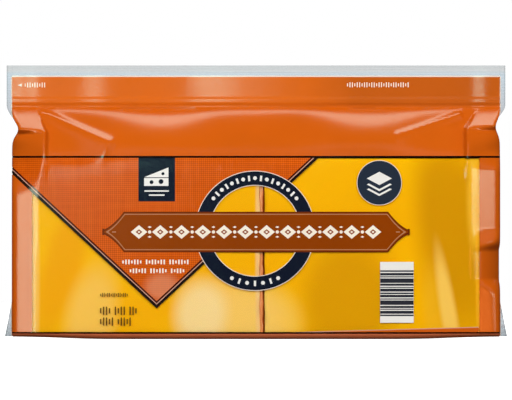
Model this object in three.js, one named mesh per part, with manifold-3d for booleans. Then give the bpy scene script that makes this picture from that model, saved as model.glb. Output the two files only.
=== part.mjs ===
// A resealable film bag that holds two stacks of cheese slices, standing on its lower edge.
// Millimetres, +Z up, +Y away from the printed front, origin at the middle of the base.
// The bag is one closed solid: a rounded block, shoulders that slope back to a flat header
// with a press-to-close zip, and a thin end seal that stands out along both sides.
import * as THREE from "three";
import { mergeVertices } from "three/addons/utils/BufferGeometryUtils.js";
import Module from "manifold-3d";

const wasm = await Module();
wasm.setup();

// Whole pack
const PACK_HEIGHT = 139.8;
const BODY_HALF_WIDTH = 124.7;
const BODY_HALF_DEPTH = 19.9;
const BLOCK_TOP = 93.6; // where the cheese ends inside the film
const HEADER_BASE = 118.6; // where the front and back films meet
const HEADER_HALF_THICKNESS = 0.5;

// The body's upright corners, up from the base: height, where the corner starts from the middle,
// how far its bevel falls back, as a share of the depth, and how square the side behind it is
const CORNER_LEFT = [
  [0, 111.5, 0.19, 14],
  [38, 111.5, 0.19, 14],
  [50, 110.6, 0.2, 14],
  [72, 110.6, 0.2, 14],
  [97, 107.6, 0.56, 6],
  [104.4, 106.8, 0.45, 8],
  [107.4, 106.8, 0.06, 20],
  [119, 106.8, 0, 20],
];
const CORNER_RIGHT = [
  [0, 113, 0.05, 10],
  [20, 113, 0.05, 8],
  [31, 107.5, 0, 2.2],
  [45, 107.5, 0, 2.2],
  [57, 109, 0.22, 14],
  [86, 109, 0.22, 14],
  [97, 107.5, 0.56, 6],
  [106.2, 106.8, 0.45, 8],
  [109.2, 106.8, 0.06, 20],
  [119, 106.8, 0, 20],
];
const CORNER_BEND = 0.07; // how round the bend is at the corner's start
const CORNER_SPLIT = 0.42; // the share of the corner's stations on its front part
const SIDE_GROOVE = 2.6; // the ends are drawn in along the seal
const SIDE_GROOVE_SHARPNESS = 8;

// Base
const BASE_RADIUS = 4;
const BASE_DRAW = 0.15; // how much of the base's rounding the two ends share
const BASE_FLAT_HALF = 70;
const BASE_LIFT = 1.2; // the lower corners stand clear of the table by this much
const BASE_LIFT_TOP = 3.4;

// Shoulders: their slope, how much steeper they leave the header, over what drop, and how softly
// they meet the flat front
const SHOULDER_SLOPE = 0.7;
const SHOULDER_STEEPER = 0.62;
const SHOULDER_REACH = 3.2;
const SHOULDER_BEND = 2.4;
const SHOULDER_FOOT = 93;

// Where the shoulder stays steep for longer, or less long, and how far the header's fold drops there
const SHOULDER_DIPS = [
  { at: -50, width: 24, longer: 8, drop: 1.4 },
  { at: 0, width: 24, longer: 2.6, drop: 0 },
  { at: 55, width: 22, longer: 13.4, drop: 0.8 },
  { at: 108, width: 8, longer: -2.7, drop: 0 },
];

// Pinched corners between shoulder and header. Over each crease stands a flat facet that faces up.
const PINCH_LEFT = { height: 107.2, draw: 3.2, spread: 4.4, inner: 105.4, outer: 107.2, lean: 0.42 };
const PINCH_RIGHT = { height: 108.4, draw: 2.2, spread: 4.6, inner: 107.4, outer: 108.4, lean: 0.65 };
const FACET_INNER = 106.8;
const FACET_EDGE = 1.1;
const FACET_TOP = 118.2;
const FACET_SLOPE = 1.2;

// Two long folds that run down from the ends of the zip: x and z, rise and width at both ends
const FOLDS = [
  { from: [-109, 116.2], to: [-75.4, 100.4], rises: [1.1, 2.0], widths: [1.3, 3.0] },
  { from: [104.3, 115.2], to: [71.9, 104.2], rises: [1.2, 0.7], widths: [1.2, 1.5] },
];
const FOLD_LOWER_SIDE = 2.3; // a fold falls away this much more gently on its lower side

// Header and zip
const ZIP_BOTTOM = 120.3;
const ZIP_TOP = 123.0;
const ZIP_HALF_THICKNESS = 0.9;
const ZIP_EDGE = 0.3;
const SWAY_START = 92;

// The header's soft upright waves: where each steep stretch is, half its width, how far it steps
const HEADER_STEPS = [
  { at: -118, half: 5, step: 1.7 },
  { at: -83, half: 4.5, step: 1.05 },
  { at: -24, half: 13, step: 2.6 },
  { at: 2, half: 24, step: 3 },
  { at: 115, half: 4.5, step: 1.5 },
];

// End seals
const SEAL_HALF_THICKNESS = 0.4;
const SEAL_ROOT = 8; // how far the seal reaches into the body, so that the two fuse
const SEAL_HEADER_HALF_WIDTH = 127.5;
const SEAL_FOOT_HALF_WIDTH = 128.5;
const SEAL_FOOT_TOP = 22; // the flared foot of the seal fades out here
const SEAL_HIDDEN_GAP = 0.4; // between, the seal stays just inside the body's outline

// How finely the loops and levels are cut
const FLAT_STATIONS = [
  0.06, 0.14, 0.22, 0.3, 0.38, 0.46, 0.53, 0.6, 0.66, 0.71, 0.76, 0.81, 0.86, 0.91, 0.96, 1,
];
const CORNER_STATIONS = [0.04, 0.1, 0.17, 0.25, 0.33, 0.42, 0.52, 0.62, 0.72, 0.82, 0.91, 1];
const LEVELS = [
  0, 0.5, 1.4, 2.6, 4, 12, 20, 25.5, 31, 38, 45, 51, 57, 72, 80, 86, 90, 93, 95, 97, 99.5, 101.5,
  103.5, 104.9, 106.1, 107.3, 108.5, 109.8, 111.2, 112.6, 114, 115.4, 116.6, 117.6, 118.6, 119.4,
  ZIP_BOTTOM - ZIP_EDGE, ZIP_BOTTOM, ZIP_TOP, ZIP_TOP + ZIP_EDGE, 128, 134, PACK_HEIGHT,
];

const FRONT = -1;
const BACK = 1;

const gauss = (distance, width) => Math.exp(-((distance / width) ** 2));
const mix = (a, b, t) => a + (b - a) * t;
const smooth = THREE.MathUtils.smoothstep;
const clamp = THREE.MathUtils.clamp;
const pinchOn = (side) => (side < 0 ? PINCH_LEFT : PINCH_RIGHT);

// Half the width of the printed body and header at height z, on one side.
function halfWidth(z, side) {
  const pinch = pinchOn(side);
  return BODY_HALF_WIDTH - pinch.draw * gauss(z - pinch.height, pinch.spread);
}

// Where a corner starts at height z, its bevel and its squareness, eased from station to station.
function corner(z, side) {
  const stations = side < 0 ? CORNER_LEFT : CORNER_RIGHT;
  let values = stations[0].slice(1);
  for (let i = 1; i < stations.length; i++) {
    const [height, ...next] = stations[i];
    const t = smooth(z, stations[i - 1][0], height);
    values = values.map((value, k) => mix(value, next[k], t));
  }
  return values;
}

// Nothing at the corner's start, one at its end, and straight past a small round bend.
function bend(u) {
  return (Math.hypot(u, CORNER_BEND) - CORNER_BEND) / (Math.hypot(1, CORNER_BEND) - CORNER_BEND);
}

// The height of the fold under the zip, where the film turns from shoulder to header.
function headerFold(x) {
  return SHOULDER_DIPS.reduce((z, dip) => z - dip.drop * gauss(x - dip.at, dip.width), HEADER_BASE);
}

// How far below the header's fold the shoulder stays steep at x.
function steepReach(x) {
  return SHOULDER_DIPS.reduce(
    (reach, dip) => reach + dip.longer * gauss(x - dip.at, dip.width),
    SHOULDER_REACH,
  );
}

// The smooth shoulder: half the depth of the bag at x and z, without creases.
function shoulderDepth(x, z) {
  const drop = Math.max(0, headerFold(x) - z);
  const reach = steepReach(x);
  const steeper = SHOULDER_STEEPER * reach * (1 - Math.exp(-drop / reach));
  const slant = SHOULDER_SLOPE * drop + steeper;
  const full = BODY_HALF_DEPTH - HEADER_HALF_THICKNESS;
  const left = Math.exp(-slant / SHOULDER_BEND) + Math.exp(-full / SHOULDER_BEND);
  return HEADER_HALF_THICKNESS + clamp(-SHOULDER_BEND * Math.log(left), 0, full);
}

// At each pinch: a flat facet over the crease, and below the crease an even rise to the front.
function pinchedDepth(x, z, side) {
  const pinch = pinchOn(side);
  const across = smooth(Math.abs(x), FACET_INNER, BODY_HALF_WIDTH);
  const crease = mix(pinch.inner, pinch.outer, across);
  if (z > crease) return HEADER_HALF_THICKNESS + FACET_SLOPE * Math.max(0, FACET_TOP - z);
  const atCrease = HEADER_HALF_THICKNESS + FACET_SLOPE * (FACET_TOP - crease);
  const t = clamp((crease - z) / (crease - SHOULDER_FOOT), 0, 1);
  return mix(atCrease, BODY_HALF_DEPTH, t * (2 - t));
}

// A long fold as a rounded ridge that changes in height and width from its start to its end.
function foldRise(fold, x, z) {
  const dx = fold.to[0] - fold.from[0];
  const dz = fold.to[1] - fold.from[1];
  const length = Math.hypot(dx, dz);
  const along = ((x - fold.from[0]) * dx + (z - fold.from[1]) * dz) / length ** 2;
  const offset = ((x - fold.from[0]) * dz - (z - fold.from[1]) * dx) / length;
  const across = offset * dx > 0 ? offset / FOLD_LOWER_SIDE : offset;
  const t = clamp(along, 0, 1);
  const past = (along - t) * length;
  return mix(...fold.rises, t) * gauss(Math.hypot(across, past), mix(...fold.widths, t));
}

// The zip stands proud of the header as one flat band.
function zipRise(z) {
  const up = smooth(z, ZIP_BOTTOM - ZIP_EDGE, ZIP_BOTTOM);
  const down = 1 - smooth(z, ZIP_TOP, ZIP_TOP + ZIP_EDGE);
  return (ZIP_HALF_THICKNESS - HEADER_HALF_THICKNESS) * up * down;
}

// Half the depth of the bag at x and z, before its upright corners are rounded.
function depth(x, z, face) {
  const side = x < 0 ? -1 : 1;
  const pinch = pinchOn(side);
  const inner = FACET_INNER + pinch.lean * Math.max(0, z - pinch.inner);
  const inCorner = smooth(Math.abs(x), inner - FACET_EDGE, inner + FACET_EDGE);
  const shaped = mix(shoulderDepth(x, z), pinchedDepth(x, z, side), inCorner);
  const folds = face === FRONT ? FOLDS : [];
  const rise = folds.reduce((sum, fold) => sum + foldRise(fold, x, z), 0);
  const onBag = 1 - smooth(z, HEADER_BASE - 4, HEADER_BASE);
  return shaped + rise * onBag + zipRise(z);
}

function headerSteps(x) {
  return HEADER_STEPS.reduce((sum, { at, half, step }) => sum + (step / 2) * Math.tanh((x - at) / half), 0);
}

// The header sways from front to back in upright waves, and is straight at both ends.
function sway(x, z) {
  const ends = [headerSteps(-BODY_HALF_WIDTH), headerSteps(BODY_HALF_WIDTH)];
  const line = mix(...ends, (x + BODY_HALF_WIDTH) / (2 * BODY_HALF_WIDTH));
  return smooth(z, SWAY_START, ZIP_TOP) * (line - headerSteps(x));
}

// How far the film is drawn in at a height inside the rounded lower edge.
function baseInset(z) {
  if (z >= BASE_RADIUS) return 0;
  return BASE_RADIUS - Math.sqrt(BASE_RADIUS ** 2 - (BASE_RADIUS - z) ** 2);
}

function baseLift(x, z) {
  const atEnds = smooth(Math.abs(x), BASE_FLAT_HALF, BODY_HALF_WIDTH);
  return BASE_LIFT * atEnds * (1 - smooth(z, 0, BASE_LIFT_TOP));
}

// One point of a corner: how far out it is, as a share of the corner, and its share of the depth.
// The front part steps evenly outwards, and the side behind it steps evenly back.
function cornerPoint(t, squareness) {
  const diagonal = 0.5 ** (1 / squareness);
  if (t < CORNER_SPLIT) {
    const u = (diagonal * t) / CORNER_SPLIT;
    return [u, (1 - u ** squareness) ** (1 / squareness)];
  }
  const share = (diagonal * (1 - t)) / (1 - CORNER_SPLIT);
  return [(1 - share ** squareness) ** (1 / squareness), share];
}

// One half of a face's cross-section at height z, from the middle out to the end seal.
function halfLoop(z, side, face) {
  const [start, bevel, squareness] = corner(z, side);
  const inset = baseInset(z);
  const reach = halfWidth(z, side) - BASE_DRAW * inset;
  const groove = SIDE_GROOVE * (1 - smooth(z, BLOCK_TOP + 6, HEADER_BASE));
  const flat = FLAT_STATIONS.map((share) => {
    const x = side * share * start;
    return [x, depth(x, z, face) - inset];
  });
  const round = CORNER_STATIONS.map((t) => {
    const [u, share] = cornerPoint(t, squareness);
    const out = start + (reach - start) * u;
    const x = side * (out - groove * (1 - share) ** SIDE_GROOVE_SHARPNESS);
    return [x, (depth(side * out, z, face) - inset) * share * (1 - bevel * bend(u))];
  });
  return [...flat, ...round].map(([x, deep]) => [x, sway(x, z) + face * deep, z + baseLift(x, z)]);
}

// The whole cross-section at height z, round from the left seal by the front and the back.
function loop(z) {
  const frontLeft = halfLoop(z, -1, FRONT).reverse();
  const frontRight = halfLoop(z, 1, FRONT);
  const backRight = halfLoop(z, 1, BACK).reverse().slice(1);
  const backLeft = halfLoop(z, -1, BACK).slice(0, -1);
  return [...frontLeft, ...frontRight, ...backRight, ...backLeft];
}

// Loops joined into a closed surface. A cap joins each front point to the back point behind it.
function loft(levels) {
  const loops = levels.map(loop);
  const count = loops[0].length;
  const index = [];
  for (let level = 0; level < loops.length - 1; level++) {
    for (let i = 0; i < count; i++) {
      const next = (i + 1) % count;
      const [a, b] = [level * count + i, level * count + next];
      index.push(a, b, b + count, a, b + count, a + count);
    }
  }
  const half = count / 2;
  const top = (loops.length - 1) * count;
  for (let i = 0; i < half; i++) {
    const [front, frontNext] = [i, i + 1];
    const [back, backNext] = [(count - i) % count, count - i - 1];
    if (backNext !== frontNext) {
      index.push(front, backNext, frontNext, top + front, top + frontNext, top + backNext);
    }
    if (back !== front) {
      index.push(front, back, backNext, top + front, top + backNext, top + back);
    }
  }
  const geometry = new THREE.BufferGeometry();
  geometry.setAttribute("position", new THREE.Float32BufferAttribute(loops.flat(2), 3));
  geometry.setIndex(index);
  return geometry;
}

// The outer edge of one end seal at height z.
function sealReach(z, side) {
  const foot = SEAL_FOOT_HALF_WIDTH - BODY_HALF_WIDTH + SEAL_HIDDEN_GAP;
  const head = SEAL_HEADER_HALF_WIDTH - BODY_HALF_WIDTH + SEAL_HIDDEN_GAP;
  const flare = foot * Math.max(0, 1 - (z - BASE_LIFT) / (SEAL_FOOT_TOP - BASE_LIFT));
  const header = head * smooth(z, pinchOn(side).height + 3, HEADER_BASE + 1);
  return halfWidth(z, side) - SEAL_HIDDEN_GAP + flare + header;
}

// One end seal: a thin upright plate in the middle of the bag's side.
function endSeal(side) {
  const heights = [
    BASE_LIFT, SEAL_FOOT_TOP, 60, 95, 100, 103, 105, 107, 109, 111, 113, 115, 117, 119, 121, PACK_HEIGHT,
  ];
  const outer = heights.map((z) => new THREE.Vector2(side * sealReach(z, side), z));
  const inner = [PACK_HEIGHT, BASE_LIFT].map(
    (z) => new THREE.Vector2(side * (BODY_HALF_WIDTH - SEAL_ROOT), z),
  );
  const shape = new THREE.Shape([...outer, ...inner]);
  const geometry = new THREE.ExtrudeGeometry(shape, {
    depth: 2 * SEAL_HALF_THICKNESS,
    bevelEnabled: false,
  });
  return geometry.translate(0, 0, -SEAL_HALF_THICKNESS).rotateX(Math.PI / 2);
}

function toSolid(geometry) {
  const bare = geometry.clone();
  bare.deleteAttribute("normal");
  bare.deleteAttribute("uv");
  const merged = mergeVertices(bare, 1e-4);
  return new wasm.Manifold(
    new wasm.Mesh({
      numProp: 3,
      vertProperties: merged.attributes.position.array,
      triVerts: new Uint32Array(merged.index.array),
    }),
  );
}

function toGeometry(solid) {
  const mesh = solid.getMesh();
  const geometry = new THREE.BufferGeometry();
  geometry.setAttribute("position", new THREE.BufferAttribute(mesh.vertProperties, 3));
  geometry.setIndex(new THREE.BufferAttribute(mesh.triVerts, 1));
  geometry.computeVertexNormals();
  return geometry;
}

const printedFilm = new THREE.MeshStandardMaterial({
  color: 0xdb6218,
  roughness: 0.3,
  metalness: 0,
});

function bag() {
  const solid = toSolid(loft(LEVELS)).add(toSolid(endSeal(-1))).add(toSolid(endSeal(1)));
  const mesh = new THREE.Mesh(toGeometry(solid), printedFilm);
  mesh.name = "bag";
  return mesh;
}

const pack = new THREE.Group();
pack.add(bag());

export default pack;
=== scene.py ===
import math

import bpy
import numpy as np
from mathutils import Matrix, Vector, kdtree
from mathutils.geometry import delaunay_2d_cdt


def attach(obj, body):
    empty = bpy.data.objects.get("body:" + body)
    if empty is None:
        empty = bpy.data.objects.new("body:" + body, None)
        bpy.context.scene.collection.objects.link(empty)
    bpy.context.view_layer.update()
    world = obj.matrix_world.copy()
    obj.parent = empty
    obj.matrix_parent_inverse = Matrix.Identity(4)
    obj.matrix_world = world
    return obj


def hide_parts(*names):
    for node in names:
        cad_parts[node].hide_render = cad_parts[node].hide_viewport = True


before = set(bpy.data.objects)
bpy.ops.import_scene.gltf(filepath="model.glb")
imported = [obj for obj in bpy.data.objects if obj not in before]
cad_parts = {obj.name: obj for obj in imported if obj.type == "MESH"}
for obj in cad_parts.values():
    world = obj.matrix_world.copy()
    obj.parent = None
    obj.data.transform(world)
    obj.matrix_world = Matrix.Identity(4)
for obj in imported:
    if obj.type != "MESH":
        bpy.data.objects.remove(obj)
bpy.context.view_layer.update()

# A resealable film bag of sliced cheese. Sizes are in millimetres and become metres in make_mesh.
MM = 0.001
FRONT = -1
BACK = 1

# Whole pack
PACK_HEIGHT = 139.8
BODY_HALF_WIDTH = 124.7
BODY_HALF_DEPTH = 19.9
BLOCK_TOP = 93.6
HEADER_BASE = 118.6
HEADER_HALF_THICKNESS = 0.5

# The body's upright corners, up from the base: height, where the corner starts from the middle,
# how far its bevel falls back, as a share of the depth, and how square the side behind it is
CORNER_LEFT = (
    (0.0, 111.5, 0.19, 14.0),
    (38.0, 111.5, 0.19, 14.0),
    (50.0, 110.6, 0.20, 14.0),
    (72.0, 110.6, 0.20, 14.0),
    (97.0, 107.6, 0.56, 6.0),
    (104.4, 106.8, 0.45, 8.0),
    (107.4, 106.8, 0.06, 20.0),
    (119.0, 106.8, 0.0, 20.0),
)
CORNER_RIGHT = (
    (0.0, 113.0, 0.05, 10.0),
    (20.0, 113.0, 0.05, 8.0),
    (31.0, 107.5, 0.0, 2.2),
    (45.0, 107.5, 0.0, 2.2),
    (57.0, 109.0, 0.22, 14.0),
    (86.0, 109.0, 0.22, 14.0),
    (97.0, 107.5, 0.56, 6.0),
    (106.2, 106.8, 0.45, 8.0),
    (109.2, 106.8, 0.06, 20.0),
    (119.0, 106.8, 0.0, 20.0),
)
CORNER_BEND = 0.07
CORNER_SPLIT = 0.42
SIDE_GROOVE = 2.6
SIDE_GROOVE_SHARPNESS = 8.0
FLAT_REACH = 141.0  # where the seal would be if the front film were laid flat

# Base
BASE_RADIUS = 4.0
BASE_FLAT_HALF = 70.0
BASE_LIFT = 1.2
BASE_LIFT_TOP = 3.4
BASE_DRAW = 0.15
BASE_TOP = 4.0
FILM_FOOT = BASE_TOP - BASE_RADIUS * math.pi / 2  # where the flattened film meets the flat base

# Shoulders: their slope, how much steeper they leave the header, over what drop, and how softly
# they meet the flat front
SHOULDER_SLOPE = 0.70
SHOULDER_STEEPER = 0.62
SHOULDER_REACH = 3.2
SHOULDER_BEND = 2.4

# Where the shoulder stays steep for longer: at x, width, how much longer, and how far the
# header's fold drops
SHOULDER_DIPS = (
    (-50.0, 24.0, 8.0, 1.4),
    (0.0, 24.0, 2.6, 0.0),
    (55.0, 22.0, 13.4, 0.8),
    (108.0, 8.0, -2.7, 0.0),
)
SHOULDER_FOOT = 93.0

# Pinched corners: height, how far drawn in, spread, the crease's two heights, the facet's lean
PINCH_LEFT = (107.2, 3.2, 4.4, 105.4, 107.2, 0.42)
PINCH_RIGHT = (108.4, 2.2, 4.6, 107.4, 108.4, 0.65)
FACET_INNER = 106.8
FACET_EDGE = 1.1
FACET_TOP = 118.2
FACET_SLOPE = 1.2

# Two long folds: from x, from z, to x, to z, then rise and width at the start and at the end.
# Each falls away more gently on its lower side.
FOLDS = (
    (-109.0, 116.2, -75.4, 100.4, 1.1, 1.3, 2.0, 3.0),
    (104.3, 115.2, 71.9, 104.2, 1.2, 1.2, 0.7, 1.5),
)
FOLD_LOWER_SIDE = 2.3

# Header and zip
ZIP_BOTTOM = 120.3
ZIP_TOP = 123.0
ZIP_HALF_THICKNESS = 0.9
ZIP_EDGE = 0.3
SWAY_START = 92.0

# The zip strip's front as y and z, and how far its ends reach into the end seals
ZIP_PROFILE = ((-0.36, 120.3), (-0.36, 121.3), (-0.2, 121.65), (-0.36, 122.0), (-0.36, 123.0))
ZIP_END = 0.3

# The header's soft upright waves: where each steep stretch is, half its width and how far it steps
HEADER_STEPS = (
    (-118.0, 5.0, 1.7),
    (-83.0, 7.5, 1.1),
    (-24.0, 13.0, 2.6),
    (2.0, 24.0, 3.0),
    (114.0, 5.5, 1.9),
)

# End seals
SEAL_HALF_THICKNESS = 0.12
SEAL_HEADER_HALF_WIDTH = 127.5
SEAL_FOOT_HALF_WIDTH = 128.5
SEAL_FOOT_TOP = 22.0
SEAL_HIDDEN_GAP = 0.4

# Print, as it shows from the front
STRIP_BOTTOM = 134.6
ORANGE_TOP = 133.9
TOP_LINE = 93.0
TOP_LINE_HALF = 0.5
FOOT_LINE = 3.2
FOOT_LINE_HALF = 0.45
WINDOW_LEFT = -114.3
WINDOW_RIGHT = 114.0
PANEL_TIP = (-50.7, 15.7)
PANEL_SLOPE = 0.93
PANEL_BORDERS = (("ink_dark", 0.0), ("ink_rose", 1.45), ("ink_maroon", 1.85), ("ink_weave", 2.75))
TAG_LEFT = -60.0
TAG_RIGHT = -41.3
TAG_BOTTOM = 70.3
RING_CENTRE = (-0.5, 55.3)
RING_OUTER = 30.3
RING_INNER = 23.4
RING_RIM = 0.35
BANNER_CENTRE = (0.0, 54.7)
BANNER_HALF_HEIGHT = 10.3
BANNER_TIP = 78.4
BANNER_TIP_LENGTH = 0.9
BANNER_TIP_HALF = 1.6
BADGE_CENTRE = (62.9, 79.8)
BADGE_RADIUS = 11.2
CODE_BOX = (63.3, 80.4, 8.4, 39.4)

# Print of the unseen back, with the label's half width, bottom and top
BACK_WINDOW_BOTTOM = 9.0
BACK_PANEL_HALF = 52.0
LABEL = (38.0, 20.0, 80.0)

# Two more strips of film: the fold at the right stack's foot, which rises from left to right, and
# the one in the gap between the stacks, as x and y across it
PLEAT_LEFT = 17.0
PLEAT_RIGHT = 113.6
PLEAT_FRONT = -19.6
PLEAT_BOTTOM = 2.8
PLEAT_TOPS = (3.6, 6.3)
# Height of the pale rose strip along the fold's top edge, a painted highlight
PLEAT_HIGHLIGHT_BAND = 0.4
GAP_PROFILE = ((1.6, -18.3), (2.6, -18.7), (3.5, -18.5), (3.9, -17.4), (4.7, -16.6))

# Stage: the floor's half size, the room's brightness as a fill, in mirror images and for the camera,
# and the camera's height and frame
FLOOR_HALF = 2500
ROOM_FILL = 0.16
ROOM_SHINE = 0.008
ROOM_SEEN = 1.0
CAMERA_HEIGHT = 71.0
FRAME_WIDTH = 261.1

# Light: the height that the soft boxes face, how bright they are, and the tints of the shine
LIGHT_AIM = 70.0
KEY_RADIANCE = 4.25
BACK_RADIANCE = 5.0
SHINE_RADIANCE = 4.6
TOP_TINT = (0.72, 1.0, 0.84)
SIDE_RADIANCE = 7.6
SIDE_TINT = (0.85, 1.0, 0.78)
LOW_RADIANCE = 12.0
LOW_TINT = (1.0, 0.28, 0.08)
HEADER_RADIANCE = 8.4
HEADER_TINT = (0.5, 1.0, 0.8)

# Inks and films: the inks' roughness and how far their clouds vary, repeats of the panel's threads,
# as the wave texture counts them, what a clear window reflects face on, and the inks' colours
INK_ROUGHNESS = 0.13
INK_CLOUDS = 0.04
THREADS_SCALE = 305.0
CLEAR_GLOSS = 0.025
INKS = {
    "ink_pale": "F3E2D2",
    "ink_white": "F4F2EC",
    "ink_cream": "FFF3E0",
    "ink_black": "0E0402",
    "ink_dark": "24130B",
    "ink_bar": "2C2E36",
    "ink_maroon": "4A1206",
    "ink_rose": "D8A48E",
    "ink_umber": "5A3A10",
    "ink_navy": "12182A",
    "ink_slate": "26303F",
    "ink_brown": "923E00",
    "ink_brown_edge": "6E2A06",
    "ink_tan": "B88058",
    # The last one is the lit side of the back film in the gap between the stacks, painted light
    "ink_gap_lit_side": "E0884C",
}

# Cheese
SLICE_WIDTH = 117.0
SLICE_HEIGHT = 90.0
SLICE_THICKNESS = 1.83
SLICE_SOFT_EDGE = 0.3
SLICE_SHIFT = 0.25
SLICE_TURN = 0.15
SLICES_IN_STACK = 21
STACK_FRONT = -19.2
STACK_BOTTOM = 2.2
FILM_CLEARANCE = 0.6
LEFT_STACK_EDGE = 2.1
RIGHT_STACK_EDGE = 4.4

# Painted highlights and painted shade on the cheese where the film would gleam or darken it, as soft
# round patches: middle's x and z, half sizes across and up, turn in degrees, strength and colour
CHEESE_PAINTED_LIGHT = (
    (47.0, 18.0, 34.0, 48.0, 0.0, 0.9, "DE9C00"),
    (101.0, 56.0, 26.0, 76.0, 8.0, 0.9, "D49300"),
    (93.0, 8.0, 9.0, 40.0, 8.0, 0.6, "F8B820"),
    (98.4, 12.0, 5.4, 46.0, 9.5, 0.95, "FFCC5C"),
    (112.0, 71.0, 6.0, 36.0, 0.0, 0.85, "F9BC2C"),
    (113.8, 40.0, 2.4, 80.0, 0.0, 0.8, "FFB41E"),
    (7.0, 8.0, 22.0, 24.0, 0.0, 0.8, "FFC94C"),
    (-99.0, 36.0, 13.0, 52.0, -16.0, 0.8, "F8A800"),
    (-84.0, 12.0, 17.0, 34.0, -11.0, 0.8, "FFCA5C"),
    (-112.8, 30.0, 3.2, 90.0, 0.0, 0.85, "FFC45C"),
    (-11.0, 9.0, 36.0, 28.0, 0.0, 0.9, "FFCD68"),
    (-28.0, 13.0, 18.0, 23.0, -4.0, 0.85, "FFDE9C"),
    (1.6, 47.0, 2.6, 90.0, 0.0, 0.9, "FFCA84"),
)

# A painted highlight on the panel near its tip, as a soft patch given the same way
PANEL_PAINTED_HIGHLIGHT = ((-47.8, 26.5, 12.0, 9.0, 0.0, 0.5, "E89C74"),)


def gauss(distance, width):
    return np.exp(-((distance / width) ** 2))


def mix(a, b, t):
    return a + (b - a) * t


def smooth(value, low, high):
    t = np.clip((value - low) / (high - low), 0, 1)
    return t * t * (3 - 2 * t)


def by_side(side, index):
    """A measure of the pinched corner on the side that each point is on."""
    return np.where(side < 0, PINCH_LEFT[index], PINCH_RIGHT[index])


def half_width(z, side):
    return BODY_HALF_WIDTH - by_side(side, 1) * gauss(z - by_side(side, 0), by_side(side, 2))


def up_the_corner(z, stations, index):
    """One measure of the corner at height z, eased from each station to the next."""
    value = stations[0][index]
    for low, high in zip(stations[:-1], stations[1:]):
        value = mix(value, high[index], smooth(z, low[0], high[0]))
    return value


def corner(z, side):
    """Where the corner starts at height z, its bevel, its squareness and how far it reaches."""
    left, right = (
        [up_the_corner(z, stations, index) for index in (1, 2, 3)]
        for stations in (CORNER_LEFT, CORNER_RIGHT)
    )
    start, bevel, power = (np.where(side < 0, a, b) for a, b in zip(left, right))
    return start, bevel, power, half_width(z, side)


def bend(u):
    """Nothing at the corner's start, one at its end, and straight past a small round bend."""
    return (np.hypot(u, CORNER_BEND) - CORNER_BEND) / (math.hypot(1, CORNER_BEND) - CORNER_BEND)


def corner_share(u, bevel, power):
    """Share of the body's depth at a share u of the way through the corner."""
    return (1 - bevel * bend(u)) * (1 - u**power) ** (1 / power)


def header_fold(x):
    return HEADER_BASE - sum(drop * gauss(x - at, width) for at, width, _, drop in SHOULDER_DIPS)


def steep_reach(x):
    """How far below the header's fold the shoulder stays steep at x."""
    return SHOULDER_REACH + sum(longer * gauss(x - at, width) for at, width, longer, _ in SHOULDER_DIPS)


def shoulder_depth(x, z):
    drop = np.maximum(0, header_fold(x) - z)
    reach = steep_reach(x)
    steeper = SHOULDER_STEEPER * reach * (1 - np.exp(-drop / reach))
    slant = SHOULDER_SLOPE * drop + steeper
    full = BODY_HALF_DEPTH - HEADER_HALF_THICKNESS
    bent = -SHOULDER_BEND * np.log(np.exp(-slant / SHOULDER_BEND) + math.exp(-full / SHOULDER_BEND))
    return HEADER_HALF_THICKNESS + np.clip(bent, 0, full)


def corner_depth(x, z, side):
    """At each pinch: a flat facet that faces up, and below its crease an even rise to the front."""
    across = smooth(np.abs(x), FACET_INNER, BODY_HALF_WIDTH)
    crease = mix(by_side(side, 3), by_side(side, 4), across)
    facet = HEADER_HALF_THICKNESS + FACET_SLOPE * np.maximum(0, FACET_TOP - z)
    at_crease = HEADER_HALF_THICKNESS + FACET_SLOPE * (FACET_TOP - crease)
    t = np.clip((crease - z) / (crease - SHOULDER_FOOT), 0, 1)
    below = mix(at_crease, BODY_HALF_DEPTH, t * (2 - t))
    return np.where(z > crease, facet, below)


def fold_rise(fold, x, z):
    """A long fold as a rounded ridge that changes in height and width from its start to its end."""
    from_x, from_z, to_x, to_z, start_rise, start_width, end_rise, end_width = fold
    dx, dz = to_x - from_x, to_z - from_z
    length = math.hypot(dx, dz)
    along = ((x - from_x) * dx + (z - from_z) * dz) / length**2
    across = ((x - from_x) * dz - (z - from_z) * dx) / length
    t = np.clip(along, 0, 1)
    past = (along - t) * length
    lower = across * dx > 0
    across = np.where(lower, across / FOLD_LOWER_SIDE, across)
    rise = mix(start_rise, end_rise, t)
    return rise * gauss(np.hypot(across, past), mix(start_width, end_width, t))


def zip_rise(z):
    up = smooth(z, ZIP_BOTTOM - ZIP_EDGE, ZIP_BOTTOM)
    down = 1 - smooth(z, ZIP_TOP, ZIP_TOP + ZIP_EDGE)
    return (ZIP_HALF_THICKNESS - HEADER_HALF_THICKNESS) * up * down


def depth(x, z, face):
    """Half the depth of the bag at x and z, before its upright corners are rounded."""
    side = np.where(x < 0, -1, 1)
    inner = FACET_INNER + by_side(side, 5) * np.maximum(0, z - by_side(side, 3))
    in_corner = smooth(np.abs(x), inner - FACET_EDGE, inner + FACET_EDGE)
    shaped = mix(shoulder_depth(x, z), corner_depth(x, z, side), in_corner)
    rise = sum(fold_rise(fold, x, z) for fold in FOLDS) if face == FRONT else 0
    on_bag = 1 - smooth(z, HEADER_BASE - 4, HEADER_BASE)
    return shaped + rise * on_bag + zip_rise(z)


def header_steps(x):
    return sum(step / 2 * np.tanh((x - at) / half) for at, half, step in HEADER_STEPS)


def sway(x, z):
    """The header sways from front to back in upright waves, and is straight at both ends."""
    ends = [header_steps(side * BODY_HALF_WIDTH) for side in (-1, 1)]
    line = mix(ends[0], ends[1], (x + BODY_HALF_WIDTH) / (2 * BODY_HALF_WIDTH))
    return smooth(z, SWAY_START, ZIP_TOP) * (line - header_steps(x))


def base_lift(x, z):
    return BASE_LIFT * smooth(np.abs(x), BASE_FLAT_HALF, BODY_HALF_WIDTH) * (1 - smooth(z, 0, BASE_LIFT_TOP))


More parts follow.
